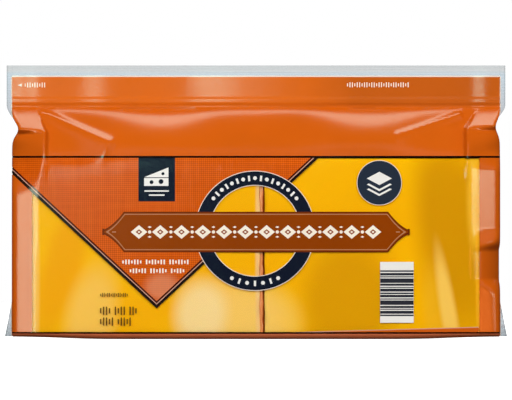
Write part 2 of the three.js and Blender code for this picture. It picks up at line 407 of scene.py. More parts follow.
def film_points(across, up, face):
    """Places on the bag of points on the flattened film, across from its middle and up."""
    side = np.where(across < 0, -1, 1)
    turn = np.clip((BASE_TOP - up) / BASE_RADIUS, 0, np.pi / 2)
    z = np.where(up < BASE_TOP, BASE_TOP - BASE_RADIUS * np.sin(turn), up)
    inset = BASE_RADIUS * (1 - np.cos(turn))
    start, bevel, power, reach = corner(z, side)
    reach = reach - BASE_DRAW * inset
    distance = np.abs(across)
    t = np.clip((distance - start) / (FLAT_REACH - start), 0, 1)
    diagonal = 0.5 ** (1 / power)
    near = diagonal * np.minimum(t / CORNER_SPLIT, 1)
    side_share = diagonal * np.minimum((1 - t) / (1 - CORNER_SPLIT), 1)
    u = np.where(t < CORNER_SPLIT, near, (1 - side_share**power) ** (1 / power))
    share = np.where(t < CORNER_SPLIT, (1 - near**power) ** (1 / power), side_share)
    out = np.where(distance > start, start + (reach - start) * u, distance)
    groove = SIDE_GROOVE * (1 - smooth(z, BLOCK_TOP + 6, HEADER_BASE))
    x = side * (out - groove * (1 - share) ** SIDE_GROOVE_SHARPNESS)
    deep = (depth(side * out, z, face) - inset) * share * (1 - bevel * bend(u))
    return np.stack([x, sway(x, z) + face * deep, z + base_lift(x, z)], axis=-1)


def film_normals(across, up, face):
    """Outward normals of the bag, from small steps along the film."""
    steps = (0.04, -0.04)
    right, left = (film_points(np.clip(across + s, -FLAT_REACH, FLAT_REACH), up, face) for s in steps)
    above, below = (film_points(across, np.minimum(up + s, PACK_HEIGHT), face) for s in steps)
    normal = np.cross(right - left, above - below) * -face
    length = np.linalg.norm(normal, axis=-1, keepdims=True)
    return normal / np.maximum(length, 1e-9)


def flatten(points):
    """Print points as seen from the front, x and z, to places on the flattened film."""
    x, z = np.asarray(points, float).T
    side = np.where(x < 0, -1, 1)
    turn = np.arcsin(np.clip((BASE_TOP - z) / BASE_RADIUS, 0, 1))
    up = np.where(z < BASE_TOP, BASE_TOP - BASE_RADIUS * turn, z)
    start, _, power, reach = corner(z, side)
    u = np.clip((np.abs(x) - start) / (reach - start), 0, 1)
    diagonal = 0.5 ** (1 / power)
    share = (1 - u**power) ** (1 / power)
    near = CORNER_SPLIT * u / diagonal
    t = np.where(u < diagonal, near, 1 - (1 - CORNER_SPLIT) * share / diagonal)
    across = side * np.where(np.abs(x) > start, start + (FLAT_REACH - start) * t, np.abs(x))
    return np.stack([across, up], axis=-1)


# Outlines of the print, each a closed loop of x and z


def rectangle(left, right, bottom, top):
    return [(left, bottom), (right, bottom), (right, top), (left, top)]


def on_circle(centre, radius, angle):
    return centre[0] + radius * math.cos(angle), centre[1] + radius * math.sin(angle)


def circle(centre, radius, count=96):
    return [on_circle(centre, radius, 2 * math.pi * i / count) for i in range(count)]


def diamond(centre, half_across, half_up):
    x, z = centre
    return [(x - half_across, z), (x, z - half_up), (x + half_across, z), (x, z + half_up)]


def dash(centre, length, thickness, turn=0.0):
    """A short bar about its centre, turned by an angle."""
    corners = rectangle(-length / 2, length / 2, -thickness / 2, thickness / 2)
    c, s = math.cos(turn), math.sin(turn)
    return [(centre[0] + x * c - z * s, centre[1] + x * s + z * c) for x, z in corners]


def stretched(loop, step=1.0):
    """The loop with points added along its long sides."""
    points = []
    for a, b in zip(loop, loop[1:] + loop[:1]):
        count = max(1, round(math.dist(a, b) / step))
        points += [mix(np.array(a), np.array(b), i / count) for i in range(count)]
    return points


def shape(ink, loop):
    """One printed shape: its ink, its outline on the flattened film, and that the film is cut there."""
    return ink, flatten(stretched([tuple(p) for p in loop])), True


def band(ink, bottom, top):
    """A printed band right across the film, whose edges are rows of the film's own points."""
    wide = FLAT_REACH + 10
    low, high = flatten([(0, bottom), (0, top)])[:, 1]
    return ink, np.array(rectangle(-wide, wide, low, high)), False


def panel_loop(inset):
    """The pointed panel's outline, drawn in by inset along its two slanting sides."""
    tip_x, tip_z = PANEL_TIP
    tip_z += inset * math.hypot(1, PANEL_SLOPE)
    left = (-BODY_HALF_WIDTH, tip_z + PANEL_SLOPE * (tip_x + BODY_HALF_WIDTH))
    right = (tip_x + (TOP_LINE - tip_z) / PANEL_SLOPE, TOP_LINE)
    return [left, (tip_x, tip_z), right, (-BODY_HALF_WIDTH, TOP_LINE)]


def banner_loop(inset):
    """The banner's outline: a bar whose ends narrow in a hollow curve to a small flat tip."""
    half = BANNER_HALF_HEIGHT - inset
    start = BANNER_TIP - BANNER_TIP_LENGTH
    quarter = [] if inset else [(BANNER_TIP, BANNER_TIP_HALF), (start, BANNER_TIP_HALF)]
    for i in range(14):
        along = 0.3 + i * 0.8
        height = 1.2 + 0.45 * along + 0.045 * along**2 - inset * 1.5
        if 0.1 < height < half:
            quarter.append((start - along, height))
    last = quarter[-1]
    quarter.append((last[0] - (half - last[1]) * 0.9, half))
    if inset:
        quarter.insert(0, (quarter[0][0] + quarter[0][1], 0))
    upper = quarter + [(-x, z) for x, z in reversed(quarter)]
    lower = [(x, -z) for x, z in reversed(upper) if z > 0]
    return [(BANNER_CENTRE[0] + x, BANNER_CENTRE[1] + z) for x, z in upper + lower]


def banner_ornament():
    """A row of lozenges and dots where a title would stand."""
    shapes = []
    count, pitch = 12, 10.85
    lozenges = (("ink_cream", 4.2, 3.5), ("ink_brown", 1.7, 1.4), ("ink_cream", 0.75, 0.6))
    for i in range(count):
        x, z = BANNER_CENTRE[0] + (i - (count - 1) / 2) * pitch, BANNER_CENTRE[1]
        shapes += [(ink, diamond((x, z), *halves)) for ink, *halves in lozenges]
        if i:
            shapes.append(("ink_cream", circle((x - pitch / 2, z), 0.85, 16)))
            for lift in (-2.5, 2.5):
                shapes.append(("ink_cream", diamond((x - pitch / 2, z + lift), 1.0, 0.5)))
    return shapes


def banner():
    layers = [("ink_brown_edge", 0.0), ("ink_brown", 0.6), ("ink_tan", 1.05), ("ink_brown", 1.5)]
    shapes = [(ink, banner_loop(inset)) for ink, inset in layers]
    for side in (-1, 1):
        centre = (BANNER_CENTRE[0] + side * 72.4, BANNER_CENTRE[1])
        shapes.append(("ink_tan", dash(centre, 2.0, 0.6)))
    return shapes + banner_ornament()


def ring():
    """The ring, with white dots and dashes around it and a clear window inside."""
    shapes = [
        ("ink_pale", circle(RING_CENTRE, RING_OUTER + RING_RIM, 160)),
        ("ink_navy", circle(RING_CENTRE, RING_OUTER, 160)),
        ("ink_pale", circle(RING_CENTRE, RING_INNER, 128)),
        ("clear", circle(RING_CENTRE, RING_INNER - RING_RIM, 128)),
    ]
    for count, first, last in ((17, 142, 38), (7, 244, 296)):
        for i in range(count):
            angle = math.radians(mix(first, last, i / (count - 1)))
            spot = on_circle(RING_CENTRE, (RING_OUTER + RING_INNER) / 2, angle)
            mark = dash(spot, 2.8, 1.1, angle) if i % 2 else circle(spot, 1.0, 16)
            shapes.append(("ink_white", mark))
    return shapes


def tag():
    """The tag that hangs from the top line, with a plain wedge on it."""
    middle = (TAG_LEFT + TAG_RIGHT) / 2
    wedge = [(-6.4, 82.6), (6.0, 87.6), (6.0, 78.2), (-6.4, 78.2)]
    shapes = [
        ("ink_navy", rectangle(TAG_LEFT, TAG_RIGHT, TAG_BOTTOM, TOP_LINE)),
        ("ink_white", [(middle + x, z) for x, z in wedge]),
        ("ink_navy", rectangle(middle - 6.4, middle + 6.0, 82.2, 82.6)),
    ]
    for x, z, radius in ((-2.6, 80.1, 1.0), (2.2, 80.4, 1.25), (3.2, 84.4, 0.8)):
        shapes.append(("ink_navy", circle((middle + x, z), radius, 20)))
    for z, half in ((75.6, 6.2), (73.5, 4.0)):
        shapes.append(("ink_white", rectangle(middle - half, middle + half, z - 0.35, z + 0.35)))
    return shapes


def badge():
    """The round badge, with three stacked sheets on it and a gap above each of the lower two."""
    x, z = BADGE_CENTRE
    sheets = [("ink_white", -3.4), ("ink_slate", -2.3), ("ink_white", -0.9), ("ink_slate", 0.2)]
    sheets.append(("ink_white", 2.2))
    discs = (("ink_pale", 0.3), ("ink_slate", 0.0))
    shapes = [(ink, circle(BADGE_CENTRE, BADGE_RADIUS + rim)) for ink, rim in discs]
    return shapes + [(ink, diamond((x, z + lift), 6.4, 3.4)) for ink, lift in sheets]


def code_box():
    """A white box with plain bars, whose widths repeat and stand for nothing."""
    left, right, bottom, top = CODE_BOX
    shapes = [("ink_white", rectangle(left, right, bottom, top))]
    widths = (0.8, 1.5, 0.5, 1.1, 2.3, 0.6, 1.3)
    gaps = (0.4, 0.55, 0.35, 0.5)
    z, i = bottom + 3.4, 0
    while z < top - 5.0:
        width = widths[i % len(widths)]
        shapes.append(("ink_bar", rectangle(left + 0.05, right - 0.05, z, z + width)))
        z += width + gaps[i % len(gaps)]
        i += 1
    return shapes


def strokes(ink, left, right, z, tall, pitch=1.24, thick=0.5, gap_every=0):
    """A row of short upright strokes of two heights, in plain groups."""
    shapes = []
    for i in range(round((right - left) / pitch) + 1):
        if gap_every and i % gap_every == gap_every - 1:
            continue
        height = tall * (1 if i % 3 else 0.62)
        shapes.append((ink, dash((left + i * pitch, z), thick, height)))
    return shapes


def header_marks():
    """An arrow with a row of short strokes at the tear line, and strokes on the right."""
    arrow = [(-121.9, 129.7), (-119.8, 130.5), (-119.8, 128.9)]
    shapes = [("ink_pale", arrow)]
    shapes += strokes("ink_cream", -118.0, -108.4, 129.8, 2.5)
    shapes += strokes("ink_cream", 46.8, 77.8, 129.9, 2.5)
    return shapes


def small_marks():
    """Plain rows of strokes on the panel and on the left window."""
    rows = (
        ("ink_cream", -67.8, -33.6, 39.4, 2.4, 1.5, 0.75, 8),
        ("ink_cream", -64.0, -37.0, 34.9, 2.4, 1.5, 0.75, 7),
        ("ink_umber", -79.2, -65.6, 22.6, 2.0, 0.9, 0.4, 0),
        ("ink_umber", -79.2, -60.6, 14.5, 4.2, 1.5, 0.6, 5),
        ("ink_umber", -79.2, -62.4, 9.0, 4.2, 1.5, 0.6, 6),
    )
    return [mark for row in rows for mark in strokes(*row)]


def with_bands(shapes):
    """The shapes on the film, under the lines and over the strip that run right round the bag."""
    strip = [band("seal_film", STRIP_BOTTOM, PACK_HEIGHT + 5), band("ink_pale", ORANGE_TOP, STRIP_BOTTOM)]
    lines = ((TOP_LINE, TOP_LINE_HALF), (FOOT_LINE, FOOT_LINE_HALF))
    layers = strip + [shape(ink, loop) for ink, loop in shapes]
    return layers + [band("ink_black", z - half, z + half) for z, half in lines]


def front_print():
    shapes = [("clear", rectangle(WINDOW_LEFT, WINDOW_RIGHT, FOOT_LINE, TOP_LINE))]
    shapes += [(ink, panel_loop(inset)) for ink, inset in PANEL_BORDERS]
    shapes += small_marks() + tag() + ring() + banner() + badge() + code_box() + header_marks()
    return with_bands(shapes)


def back_print():
    """The unseen back: a woven panel with a blank label between two windows."""
    shapes = [("clear", rectangle(WINDOW_LEFT, WINDOW_RIGHT, BACK_WINDOW_BOTTOM, TOP_LINE))]
    for ink, inset in PANEL_BORDERS:
        half = BACK_PANEL_HALF - inset
        shapes.append((ink, rectangle(-half, half, FOOT_LINE, TOP_LINE)))
    half, bottom, top = LABEL
    for ink, inset in (("ink_brown_edge", 0.0), ("ink_pale", 0.6)):
        sides = (inset - half, half - inset, bottom + inset, top - inset)
        shapes.append((ink, rectangle(*sides)))
    rules = [(mix(bottom + 8, top - 12, i / 5), 0.4) for i in range(6)] + [(top - 7, 1.6)]
    for z, thick in rules:
        shapes.append(("ink_umber", rectangle(5 - half, half - 5, z, z + thick)))
    return with_bands(shapes)


# The film as a mesh: its own grid of points, cut along the outlines of the print


def film_columns():
    """Columns of the film's points: wide apart on the flat front and close at the corners."""
    corner_from, corner_to = 104.0, 118.0
    half = [
        np.arange(0, corner_from, 1.15),
        np.arange(corner_from, corner_to, 0.6),
        np.linspace(corner_to, FLAT_REACH, 24),
    ]
    half = np.concatenate(half)
    return np.concatenate([-half[:0:-1], half])


def film_rows(layers):
    """Heights on the flattened film, with a row at every edge of a band and of the zip."""
    edges = [FILM_FOOT, BASE_TOP, ZIP_BOTTOM - ZIP_EDGE, ZIP_BOTTOM, ZIP_TOP, ZIP_TOP + ZIP_EDGE, PACK_HEIGHT]
    for _, loop, has_edges in layers:
        if not has_edges:
            edges += [v for v in (loop[0, 1], loop[2, 1]) if v < PACK_HEIGHT]
    edges = np.unique(np.round(edges, 5))
    rows = []
    for low, high in zip(edges[:-1], edges[1:]):
        count = max(1, math.ceil((high - low) / 1.1))
        rows += [mix(low, high, i / count) for i in range(count)]
    return np.append(rows, edges[-1]), edges


def near_outline(points, outlines, distance):
    """Which points lie so near an outline that they would only make slivers."""
    tree = kdtree.KDTree(len(outlines))
    for i, (u, v) in enumerate(outlines):
        tree.insert((u, v, 0), i)
    tree.balance()
    return np.array([tree.find((u, v, 0))[2] < distance for u, v in points])


def cut_film(layers):
    """Points and triangles of the flattened film. No triangle crosses an outline of the print."""
    columns = film_columns()
    rows, edges = film_rows(layers)
    grid = np.array([(u, v) for v in rows for u in columns])
    needed = np.isin(grid[:, 1], edges) | np.isclose(np.abs(grid[:, 0]), FLAT_REACH)
    outlines = [loop for _, loop, has_edges in layers if has_edges]
    crowded = near_outline(grid, np.concatenate(outlines), 0.4)
    grid = grid[needed | ~crowded]
    points = [Vector(p) for p in grid]
    links = []
    for row in edges:
        members = np.flatnonzero(grid[:, 1] == row)
        members = members[np.argsort(grid[members, 0])]
        links += list(zip(members[:-1].tolist(), members[1:].tolist()))
    for loop in outlines:
        first = len(points)
        points += [Vector(p) for p in loop]
        count = len(loop)
        links += [(first + i, first + (i + 1) % count) for i in range(count)]
    places, _, faces, _, _, _ = delaunay_2d_cdt(points, links, [], 0, 1e-4)
    return np.array(places), np.array(faces)


def inside(loop, points):
    """Which points lie inside a closed loop."""
    found = np.zeros(len(points), bool)
    low, high = loop.min(0), loop.max(0)
    near = np.flatnonzero(((points >= low) & (points <= high)).all(1))
    u, v = points[near].T
    hit = np.zeros(len(near), bool)
    for (u0, v0), (u1, v1) in zip(loop, np.roll(loop, -1, 0)):
        if v0 != v1:
            crosses = (v0 > v) != (v1 > v)
            hit ^= crosses & (u < (u1 - u0) * (v - v0) / (v1 - v0) + u0)
    found[near] = hit
    return found


def inks_of(layers, places, faces):
    """The ink of each triangle: the last layer that its middle lies in."""
    middles = places[faces].mean(1)
    names = np.full(len(faces), "ink_orange", dtype=object)
    for ink, loop, _ in layers:
        names[inside(loop, middles)] = ink
    return names


def film_panel(face, layers):
    places, faces = cut_film(layers)
    inks = inks_of(layers, places, faces)
    points = film_points(places[:, 0], places[:, 1], face)
    normals = film_normals(places[:, 0], places[:, 1], face)
    if face == BACK:
        faces = faces[:, ::-1]
    return points, normals, faces, inks, places


def grid_faces(rows, columns):
    """The four-cornered faces between the points of a grid, row after row."""
    firsts = [j * columns + i for j in range(rows - 1) for i in range(columns - 1)]
    return np.array([(a, a + 1, a + columns + 1, a + columns) for a in firsts])


def ring_faces(rings):
    """The four-cornered faces between closed rings of points, each ring joined to the next."""
    faces = []
    for near, far in zip(rings[:-1], rings[1:]):
        faces += [(near[k], near[k - 1], far[k - 1], far[k]) for k in range(len(near))]
    return faces


def merged(parts):
    """The points and faces of several meshes as those of one."""
    starts = np.cumsum([0] + [len(points) for points, _ in parts])
    faces = [faces + start for (_, faces), start in zip(parts, starts)]
    return np.concatenate([points for points, _ in parts]), np.concatenate(faces)


def joining_strip(front, back, level, ink, rows):
    """A strip of film from the front's edge to the back's edge, at the top or the base."""
    ends = []
    for points, _, _, _, places in (front, back):
        members = np.flatnonzero(np.isclose(places[:, 1], level, atol=1e-3))
        ends.append(points[members[np.argsort(places[members, 0])]])
    grid = np.array([mix(ends[0], ends[1], share) for share in np.linspace(0, 1, rows + 1)])
    up = 1 if level > 0 else -1
    quads = grid_faces(rows + 1, grid.shape[1])[:, ::up]
    faces = np.concatenate([quads[:, [0, 1, 2]], quads[:, [0, 2, 3]]])
    points = grid.reshape(-1, 3)
    normals = np.tile([0, 0, up], (len(points), 1))
    return points, normals, faces, np.full(len(faces), ink, dtype=object), None


def make_mesh(name, points, faces, materials, indices=None, normals=None):
    """A smooth mesh object from points in millimetres."""
    mesh = bpy.data.meshes.new(name)
    corners = [[int(v) for v in face] for face in faces]
    mesh.from_pydata((np.asarray(points) * MM).tolist(), [], corners)
    for material in materials:
        mesh.materials.append(material)
    if indices is not None:
        mesh.polygons.foreach_set("material_index", np.asarray(indices, np.int32))
    mesh.polygons.foreach_set("use_smooth", np.ones(len(mesh.polygons), bool))
    if normals is not None:
        mesh.normals_split_custom_set_from_vertices(np.asarray(normals).tolist())
    mesh.update()
    piece = bpy.data.objects.new(name, mesh)
    bpy.context.scene.collection.objects.link(piece)
    return piece


def add_piece(slot_name, *mesh):
    """A mesh as a piece of the bag, hung under the root, with the imported bag hidden."""
    piece = make_mesh(*mesh)
    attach(piece, "root")
    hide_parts("bag")


def film_piece(slot_name, name, parts, wanted, materials):
    """One piece with all the triangles whose ink is wanted."""
    points, faces = merged([(part[0], part[2]) for part in parts])
    normals, inks = (np.concatenate([part[i] for part in parts]) for i in (1, 3))
    kept = np.isin(inks.astype(str), wanted)
    used, renumbered = np.unique(faces[kept], return_inverse=True)
    looks = [materials[ink] for ink in wanted]
    indices = [wanted.index(ink) for ink in inks[kept]]
    faces = renumbered.reshape(-1, 3)
    add_piece(slot_name, name, points[used], faces, looks, indices, normals[used])


# Materials


def linear(hex_colour):
    """A colour from its sRGB hex digits."""
    values = [int(hex_colour[i : i + 2], 16) / 255 for i in (0, 2, 4)]
    bent = [v / 12.92 if v <= 0.04045 else ((v + 0.055) / 1.055) ** 2.4 for v in values]
    return (*bent, 1.0)


def shaded(colour, factor):
    return (*[min(1.0, c * factor) for c in colour[:3]], 1.0)


def new_material(name):
    material = bpy.data.materials.new(name)
    material.use_nodes = True
    tree = material.node_tree
    return material, tree, tree.nodes["Principled BSDF"]


def fill(tree, node, inputs):
    """Each input of a node, linked to a socket or set to a value."""
    for name, value in inputs.items():
        if isinstance(value, bpy.types.NodeSocket):
            tree.links.new(value, node.inputs[name])
        else:
            node.inputs[name].default_value = value


def add_node(tree, kind, inputs, output=0, **settings):
    """One output of a new node, whose inputs are filled and whose settings are made."""
    node = tree.nodes.new("ShaderNode" + kind)
    for name, value in settings.items():
        setattr(node, name, value)
    fill(tree, node, inputs)
    return node.outputs[output]


def object_place(tree):
    return add_node(tree, "TexCoord", {}, "Object")


def add_noise(tree, scale, detail, stretch=(1, 1, 1)):
    """Noise over the object, its size in repeats per metre along each axis."""
    place = add_node(tree, "Mapping", {"Vector": object_place(tree), "Scale": stretch})
    return add_node(tree, "TexNoise", {"Vector": place, "Scale": scale, "Detail": detail})


def ramp(tree, value, stops, interpolation="LINEAR"):
    """The colour of a value, between the colours of its nearest stops."""
    colour = add_node(tree, "ValToRGB", {"Fac": value})
    colour.node.color_ramp.interpolation = interpolation
    elements = colour.node.color_ramp.elements
    elements[0].position, elements[0].color = stops[0]
    elements[1].position, elements[1].color = stops[-1]
    for position, tone in stops[1:-1]:
        elements.new(position).color = tone
    return colour


def in_range(tree, value, from_low, from_high, to_low, to_high):
    """A value brought from one range to another."""
    inputs = {"Value": value, "From Min": from_low, "From Max": from_high}
    return add_node(tree, "MapRange", {**inputs, "To Min": to_low, "To Max": to_high})


def spread(tree, noise, low, high):
    """A noise value brought to a range."""
    return in_range(tree, noise, 0.3, 0.7, low, high)


def place_share(tree, axis, low, high):
    """Nothing at low and one at high, both in millimetres along an axis of the pack."""
    along = add_node(tree, "SeparateXYZ", {"Vector": object_place(tree)}, axis)
    return in_range(tree, along, low * MM, high * MM, 0.0, 1.0)


def worked_out(tree, operation, first, second):
    """The result of a sum. Each value is a socket or a number."""
    return add_node(tree, "Math", {0: first, 1: second}, operation=operation)


def mixed_colour(tree, share, first, second):
    """Two colours mixed by a share. Each is a socket or a plain colour."""
    node = tree.nodes.new("ShaderNodeMix")
    node.data_type = "RGBA"
    places = [socket.identifier for socket in node.inputs]
    colours = {places.index("A_Color"): first, places.index("B_Color"): second}
    fill(tree, node, {"Factor": share, **colours})
    return next(o for o in node.outputs if o.identifier == "Result_Color")


def mixed_shader(tree, share, first, second):
    return add_node(tree, "MixShader", {0: share, 1: first, 2: second})


def to_surface(tree, shader):
    tree.links.new(shader, tree.nodes["Material Output"].inputs["Surface"])


def bumped(tree, height, distance):
    """Normals that follow a height, for a shader's own input."""
    return add_node(tree, "Bump", {"Height": height, "Distance": distance, "Strength": 1.0})


def soft_patch(tree, x, z, half_across, half_up, turn, strength):
    """A soft round patch: its strength at its middle, and nothing past its half sizes."""
    inputs = {
        "Vector": object_place(tree),
        "Location": (x * MM, 0, z * MM),
        "Rotation": (0, -math.radians(turn), 0),
        "Scale": (half_across * MM, 10, half_up * MM),
    }
    place = add_node(tree, "Mapping", inputs, vector_type="TEXTURE")
    fall = add_node(tree, "TexGradient", {"Vector": place}, "Fac", gradient_type="SPHERICAL")
    return ramp(tree, fall, ((0.0, (0, 0, 0, 1)), (0.6, (strength,) * 3 + (1,))), "EASE")


def toned(tree, colour, tones):
    """A colour with soft patches of other colours over it: here painted highlights and painted shade."""
    for *patch, tone in tones:
        colour = mixed_colour(tree, soft_patch(tree, *patch), colour, linear(tone))
    return colour


def ink(name, hex_colour, roughness=INK_ROUGHNESS):
    """Glossy printed film: an even ink with slight clouding and a fine unevenness."""
    material, tree, shader = new_material(name)
    colour = linear(hex_colour)
    stops = ((0.3, shaded(colour, 1 - INK_CLOUDS)), (0.7, shaded(colour, 1 + INK_CLOUDS)))
    inputs = {
        "Base Color": ramp(tree, add_noise(tree, 30.0, 4.0), stops),
        "Roughness": spread(tree, add_noise(tree, 700.0, 2.0), roughness - 0.03, roughness + 0.05),
        "Normal": bumped(tree, add_noise(tree, 160.0, 2.0), 0.00003),
    }
    fill(tree, shader, inputs)
    return material


def header_ink():
    """The ground colour of the print, with painted light: lighter on the header's left two thirds and darker
    on its right third, as if lit unevenly, and lighter at the foot, as if lit from below.
    """
    material = ink("ink_header_painted_light", "D05C09", 0.18)
    tree = material.node_tree
    into = tree.nodes["Principled BSDF"].inputs["Base Color"]
    plain = into.links[0].from_socket
    # Painted light and shade on the header: its left part lighter and its right part darker
    light, dark = (1.16, 1.30, 2.1, 1), (0.90, 1.03, 1.9, 1)
    stops = ((0.0, light), (0.60, light), (0.70, dark), (1.0, dark))
    tone = ramp(tree, place_share(tree, "X", -BODY_HALF_WIDTH, BODY_HALF_WIDTH), stops)
    header = add_node(tree, "VectorMath", {0: plain, 1: tone}, operation="MULTIPLY")
    on_header = place_share(tree, "Z", HEADER_BASE - 0.5, HEADER_BASE + 1.5)
    colour = mixed_colour(tree, on_header, plain, header)
    # Painted light: the rounded foot below the foot line faces down and is painted lighter, as if lit from
    # below
    painted_light_at_foot = place_share(tree, "Z", FOOT_LINE, FOOT_LINE - 0.4)
    tree.links.new(mixed_colour(tree, painted_light_at_foot, colour, linear("E0764A")), into)
    return material


def threads(tree, direction, stretch):
    """Thin threads about a millimetre apart, whose strength varies with a noise."""
    inputs = {"Vector": object_place(tree), "Scale": THREADS_SCALE, "Distortion": 0.6, "Detail Scale": 2.0}
    wave = add_node(tree, "TexWave", inputs, "Fac", bands_direction=direction)
    strength = spread(tree, add_noise(tree, 1.0, 2.0, stretch), 0.45, 1.0)
    return worked_out(tree, "MULTIPLY", wave, strength)


def weave_ink():
    """The panel's linen print: fine threads across and up, some stronger than others, and a painted highlight
    near its tip.
    """
    material, tree, shader = new_material("ink_weave")
    across = threads(tree, "X", (500.0, 500.0, 40.0))
    up = threads(tree, "Z", (40.0, 40.0, 500.0))
    height = worked_out(tree, "MULTIPLY", worked_out(tree, "ADD", across, up), 0.5)
    stops = ((0.0, linear("B84804")), (0.35, linear("D45606")), (0.75, linear("E66812")))
    inputs = {
        "Base Color": toned(tree, ramp(tree, height, stops), PANEL_PAINTED_HIGHLIGHT),
        "Roughness": spread(tree, add_noise(tree, 700.0, 2.0), 0.11, 0.17),
        "Specular IOR Level": 0.3,
        "Normal": bumped(tree, height, 0.00003),
    }
    fill(tree, shader, inputs)
    return material


def clear_film():
    """Clear window film: see-through, with a gloss that grows alike on both its sides to grazing views."""
    material, tree, shader = new_material("clear_film")
    tree.nodes.remove(shader)
    through = add_node(tree, "BsdfTransparent", {"Color": (0.99, 0.99, 0.985, 1)})
    facing = add_node(tree, "LayerWeight", {"Blend": 0.5}, "Facing")
    inputs = {
        "Roughness": spread(tree, add_noise(tree, 500.0, 2.0), 0.12, 0.17),
        "Color": in_range(tree, worked_out(tree, "POWER", facing, 5.0), 0.0, 1.0, CLEAR_GLOSS, 1.0),
    }
    gloss = add_node(tree, "BsdfGlossy", inputs)
    to_surface(tree, add_node(tree, "AddShader", {0: through, 1: gloss}))
    return material


def seal_film(name, darkness):
    """Two clear films welded together: bluish grey, a little hazy, and greyer at the foot."""
    material, tree, shader = new_material(name)
    streaks = add_noise(tree, 1.0, 2.0, (12.0, 12.0, 900.0))
    inputs = {
        "Base Color": linear("D6DDE2"),
        "Specular IOR Level": 0.6,
        "Roughness": spread(tree, add_noise(tree, 300.0, 2.0), 0.22, 0.34),
        "Normal": bumped(tree, streaks, 0.00006),
    }
    fill(tree, shader, inputs)
    stops = (
        (0.0, (0.46, 0.49, 0.51)),
        (0.15, (0.66, 0.67, 0.685)),
        (0.8, (0.74, 0.745, 0.765)),
        (0.968, (0.78, 0.84, 0.88)),
        (0.982, (0.82, 0.83, 0.83)),
        (1.0, (0.80, 0.81, 0.81)),
    )
    stops = [(height, shaded(colour, 1 - darkness)) for height, colour in stops]
    tint = ramp(tree, place_share(tree, "Z", 0, PACK_HEIGHT), stops)
    through = add_node(tree, "BsdfTransparent", {"Color": tint})
    haze = spread(tree, streaks, 0.06, 0.24)
    to_surface(tree, mixed_shader(tree, haze, through, shader.outputs["BSDF"]))
    return material


def cheese():
    """Firm sliced cheese: golden yellow, slightly waxy, with faint mottling and patches of painted highlight
    and painted shade.
    """
    material, tree, shader = new_material("cheese")
    stops = ((0.3, linear("FCB200")), (0.5, linear("FFB800")), (0.7, linear("FFC000")))
    fine = add_noise(tree, 420.0, 3.0)
    inputs = {
        "Base Color": toned(tree, ramp(tree, add_noise(tree, 22.0, 5.0), stops), CHEESE_PAINTED_LIGHT),
        "Roughness": spread(tree, fine, 0.42, 0.56),
        "Specular IOR Level": 0.03,
        "Subsurface Weight": 0.2,
        "Subsurface Radius": (0.004, 0.002, 0.0005),
        "Subsurface Scale": 1.0,
        "Normal": bumped(tree, fine, 0.00008),
    }
    fill(tree, shader, inputs)
    return material


def zip_plastic():
    material, tree, shader = new_material("zip_plastic")
    stops = ((0.3, linear("D8DEE2")), (0.7, linear("EDF1F3")))
    colour = ramp(tree, add_noise(tree, 80.0, 2.0), stops)
    fill(tree, shader, {"Base Color": colour, "Roughness": 0.35})
    return material


def make_materials():
    return {
        "ink_orange": header_ink(),
        **{name: ink(name, colour) for name, colour in INKS.items()},
        "ink_weave": weave_ink(),
        "clear": clear_film(),
        "seal_film": seal_film("seal_film", 0),
        "seal_edge": seal_film("seal_edge", 0.12),
        "cheese": cheese(),
        "zip": zip_plastic(),
    }


# Pieces


def make_bag(materials):
    front = film_panel(FRONT, front_print())
    back = film_panel(BACK, back_print())
    base = joining_strip(front, back, FILM_FOOT, "ink_orange", 12)
    top = joining_strip(front, back, PACK_HEIGHT, "seal_film", 1)
    parts = [front, back, base, top]
    opaque = [name for name in materials if name.startswith("ink")]
    film_piece("printed_film", "film_print", parts, opaque, materials)
    film_piece("clear_film", "film_window", parts, ["clear", "seal_film"], materials)


def seal_reach(z, side):
    """The outer edge of one end seal at height z."""
    foot = SEAL_FOOT_HALF_WIDTH - BODY_HALF_WIDTH + SEAL_HIDDEN_GAP
    head = SEAL_HEADER_HALF_WIDTH - BODY_HALF_WIDTH + SEAL_HIDDEN_GAP
    flare = foot * np.maximum(0, 1 - (z - BASE_LIFT) / (SEAL_FOOT_TOP - BASE_LIFT))
    header = head * smooth(z, by_side(side, 0) + 3, HEADER_BASE + 1)
    return half_width(z, side) - SEAL_HIDDEN_GAP + flare + header


def make_seal(side, materials):
    """One end seal: a thin plate of two welded films, with fine ridges across it."""
    heights = np.linspace(BASE_LIFT, PACK_HEIGHT, 240)
    sides = np.full_like(heights, side)
    edge = half_width(heights, sides)
    outer = seal_reach(heights, sides)
    drawn = SIDE_GROOVE * (1 - smooth(heights, BLOCK_TOP + 6, HEADER_BASE))
    root = np.where(heights < ORANGE_TOP, edge - drawn - 0.8, edge - 0.05)
    pale = np.minimum(edge + 0.5, outer)
    lines = [root, mix(root, edge, 0.5), np.minimum(edge, outer), pale]
    lines += [mix(pale, outer, share) for share in (0.35, 0.7, 1.0)]
    across, up = np.array(lines).T, heights[:, None]
    columns = len(lines)
    thick = SEAL_HALF_THICKNESS * np.where(np.arange(columns) < columns - 1, 1, 0.3)
    ridges = 0.04 * np.sin(2 * np.pi * up / 1.5)
    quads = grid_faces(len(heights), columns)
    sheets = []
    for face in (FRONT, BACK):
        sheet = np.stack(np.broadcast_arrays(side * across, face * thick + ridges, up), axis=-1)
        sheets.append((sheet.reshape(-1, 3), quads if face * side < 0 else quads[:, ::-1]))
    looks = [0, 0, 1] + [0] * (columns - 5) + [2]
    indices = [0 if look == 1 and z >= ORANGE_TOP else look for z in heights[:-1] for look in looks]
    name = f"end_seal_{'left' if side < 0 else 'right'}"
    films = [materials[film] for film in ("seal_film", "ink_pale", "seal_edge")]
    add_piece("clear_film", name, *merged(sheets), films, indices * 2)


